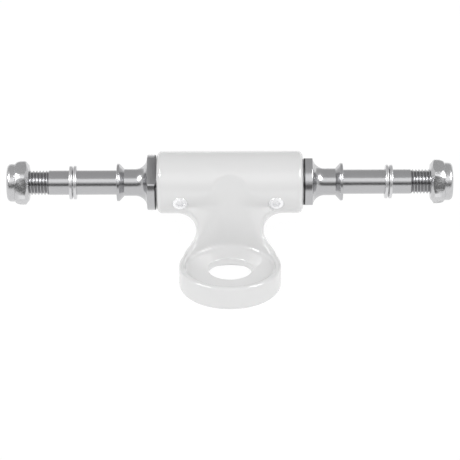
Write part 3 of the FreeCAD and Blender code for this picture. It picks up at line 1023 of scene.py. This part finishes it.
class SKATE_OT_make_pin(bpy.types.Operator):
    """Make the pivot pin with its round nose"""

    bl_idname = "skate_truck.make_pin"
    bl_label = "Make pivot pin"

    def execute(self, context):
        settings = context.scene.skate_truck.pivot
        mount = mounts["pivot_pin_nose"]
        radius = mount["dims"]["r_mm"] * MM
        wall = mount["dims"]["length_mm"] * MM
        axis = Vector(mount["axis"])
        nose = Vector(mount["pos_m"]) + axis * wall / 2
        mouth = -wall - settings.chamfer
        end = mouth - settings.shank_length
        profile = [
            (end, 0),
            (end, settings.shank_radius - settings.chamfer),
            (end + settings.chamfer, settings.shank_radius),
            (mouth, settings.shank_radius),
            (mouth, radius - settings.chamfer),
            (mouth + settings.chamfer, radius),
        ]
        profile += arc((0, 0), (radius, radius), 90, 0, steps=20)
        pin = stand(lathe(profile), nose, axis)
        piece("pivot_pin_ground", pin, "pivot_pin", [ground_steel(settings)])
        return {"FINISHED"}


def soft_light(lamp, power):
    """Rectangular lamp that points at the object."""
    data = bpy.data.lights.new(lamp.name, "AREA")
    data.shape = "RECTANGLE"
    data.size = lamp.width
    data.size_y = lamp.height
    data.energy = lamp.watts * power
    made = bpy.data.objects.new(lamp.name, data)
    bpy.context.scene.collection.objects.link(made)
    azimuth = math.radians(lamp.azimuth)
    elevation = math.radians(lamp.elevation)
    flat = math.cos(elevation)
    away = Vector((math.sin(azimuth) * flat, -math.cos(azimuth) * flat, math.sin(elevation)))
    made.location = axle_line + away * LAMP_DISTANCE
    made.rotation_mode = "QUATERNION"
    made.rotation_quaternion = away.to_track_quat("Z", "Y")
    made.visible_camera = False
    made.visible_diffuse = lamp.diffuse
    made.visible_glossy = lamp.glossy


class SKATE_OT_set_stage(bpy.types.Operator):
    """Lay the floor, and set the lamps, the sky and the camera"""

    bl_idname = "skate_truck.set_stage"
    bl_label = "Set stage"

    def execute(self, context):
        settings = context.scene.skate_truck.stage
        self.lay_floor(settings)
        self.light_sky(context.scene, settings)
        for lamp in LAMPS:
            soft_light(lamp, settings.lamp_power)
        self.aim_camera(context.scene, settings)
        context.scene.view_settings.view_transform = "Standard"
        return {"FINISHED"}

    def lay_floor(self, settings):
        """White floor: a faint shadow, dark in front in reflections, clear from beneath."""
        mesh = bmesh.new()
        bmesh.ops.create_grid(mesh, x_segments=1, y_segments=1, size=settings.floor_size / 2)
        bmesh.ops.translate(mesh, verts=mesh.verts, vec=(0, 0, cad_box[0].z))
        floor = as_object("floor", mesh)
        material, shader = new_material("floor_white")
        camera, glossy, through = [shader.node("LightPath", out=name) for name in RAYS]
        y = shader.parts(shader.place())[1]
        far = shader.between(-1 * y, settings.dark_start, settings.dark_end)
        seen = camera.maths("MAXIMUM", camera, through)
        glowing = seen * settings.floor_glow + (1 - seen) * settings.floor_lift
        glowing = glowing.maths("MAXIMUM", glowing, glossy * settings.floor_glow)
        level = 1 - glossy * far * settings.front_dark
        tone = shader.vector(level, level, level)
        plain = shader.node("BsdfDiffuse", values={"Color": FLOOR_WHITE})
        glow = shader.node("Emission", values={"Color": tone, "Strength": FLOOR_STRENGTH})
        mixed = shader.node("MixShader", values={0: glowing, 1: plain, 2: glow})
        beneath = shader.node("NewGeometry", out="Backfacing")
        clear = shader.node("BsdfTransparent")
        mixed = shader.node("MixShader", values={0: beneath, 1: mixed, 2: clear})
        shader.node("OutputMaterial", values={"Surface": mixed})
        floor.data.materials.append(material)

    def light_sky(self, scene, settings):
        """White to the camera; to the object a soft sky with a dark front and a bright back."""
        sky = bpy.data.worlds.new("sky")
        sky.use_nodes = True
        scene.world = sky
        shader = Shader(sky.node_tree)
        _, y, z = shader.parts(shader.node("TexCoord", out="Generated"))
        level = shader.between(z, *ZENITH_FADE, settings.horizon, settings.zenith)
        front = shader.between(-1 * y, *FRONT_SIDE) * shader.between(z, *FRONT_TOP, 1.0, 0.0)
        back = shader.between(y, *BACK_SIDE) * shader.between(z, *BACK_TOP, 1.0, 0.0)
        level = level * (1 - front * settings.front_dark) + back * settings.back_glow
        level = level * settings.sky_power
        level = level.maths("MAXIMUM", level, shader.node("LightPath", out="Is Camera Ray"))
        tone = shader.vector(level, level, level)
        glow = shader.node("Background", values={"Color": tone, "Strength": 1.0})
        shader.node("OutputWorld", values={"Surface": glow})

    def aim_camera(self, scene, settings):
        """Look down at the axles from the front, as the photograph does."""
        data = bpy.data.cameras.new("camera")
        data.sensor_width = SENSOR_WIDTH
        data.lens = data.sensor_width * settings.distance / settings.frame_width
        camera = bpy.data.objects.new("camera", data)
        scene.collection.objects.link(camera)
        turn = Matrix.Rotation(math.pi / 2 - settings.elevation, 4, "X")
        up = turn.to_3x3() @ Vector((0, 1, 0))
        back = turn.to_3x3() @ Vector((0, 0, 1))
        place = axle_line - up * settings.axle_above_middle + back * settings.distance
        camera.matrix_world = Matrix.Translation(place) @ turn @ Matrix.Rotation(-settings.roll, 4, "Z")
        scene.camera = camera


STEPS = (
    SKATE_OT_cast_hanger,
    SKATE_OT_turn_axles,
    SKATE_OT_make_washers,
    SKATE_OT_make_nuts,
    SKATE_OT_make_screws,
    SKATE_OT_make_pin,
    SKATE_OT_set_stage,
)


class SKATE_PT_truck(bpy.types.Panel):
    bl_label = "Skate truck"
    bl_idname = "SKATE_PT_truck"
    bl_space_type = "VIEW_3D"
    bl_region_type = "UI"
    bl_category = "Skate truck"

    def draw(self, context):
        truck = context.scene.skate_truck
        for group in (truck.casting, truck.axles, truck.fastenings, truck.pivot, truck.stage):
            box = self.layout.box()
            for name in group.__annotations__:
                box.prop(group, name)
        for step in STEPS:
            self.layout.operator(step.bl_idname)


CLASSES = (
    CastingSettings,
    AxleSettings,
    FasteningSettings,
    PivotSettings,
    StageSettings,
    TruckSettings,
    *STEPS,
    SKATE_PT_truck,
)


def register():
    for item in CLASSES:
        bpy.utils.register_class(item)
    bpy.types.Scene.skate_truck = bpy.props.PointerProperty(type=TruckSettings)


def unregister():
    del bpy.types.Scene.skate_truck
    for item in reversed(CLASSES):
        bpy.utils.unregister_class(item)


def main():
    register()
    for step in STEPS:
        group, name = step.bl_idname.split(".")
        getattr(getattr(bpy.ops, group), name)()


if __name__ == "__main__":
    main()
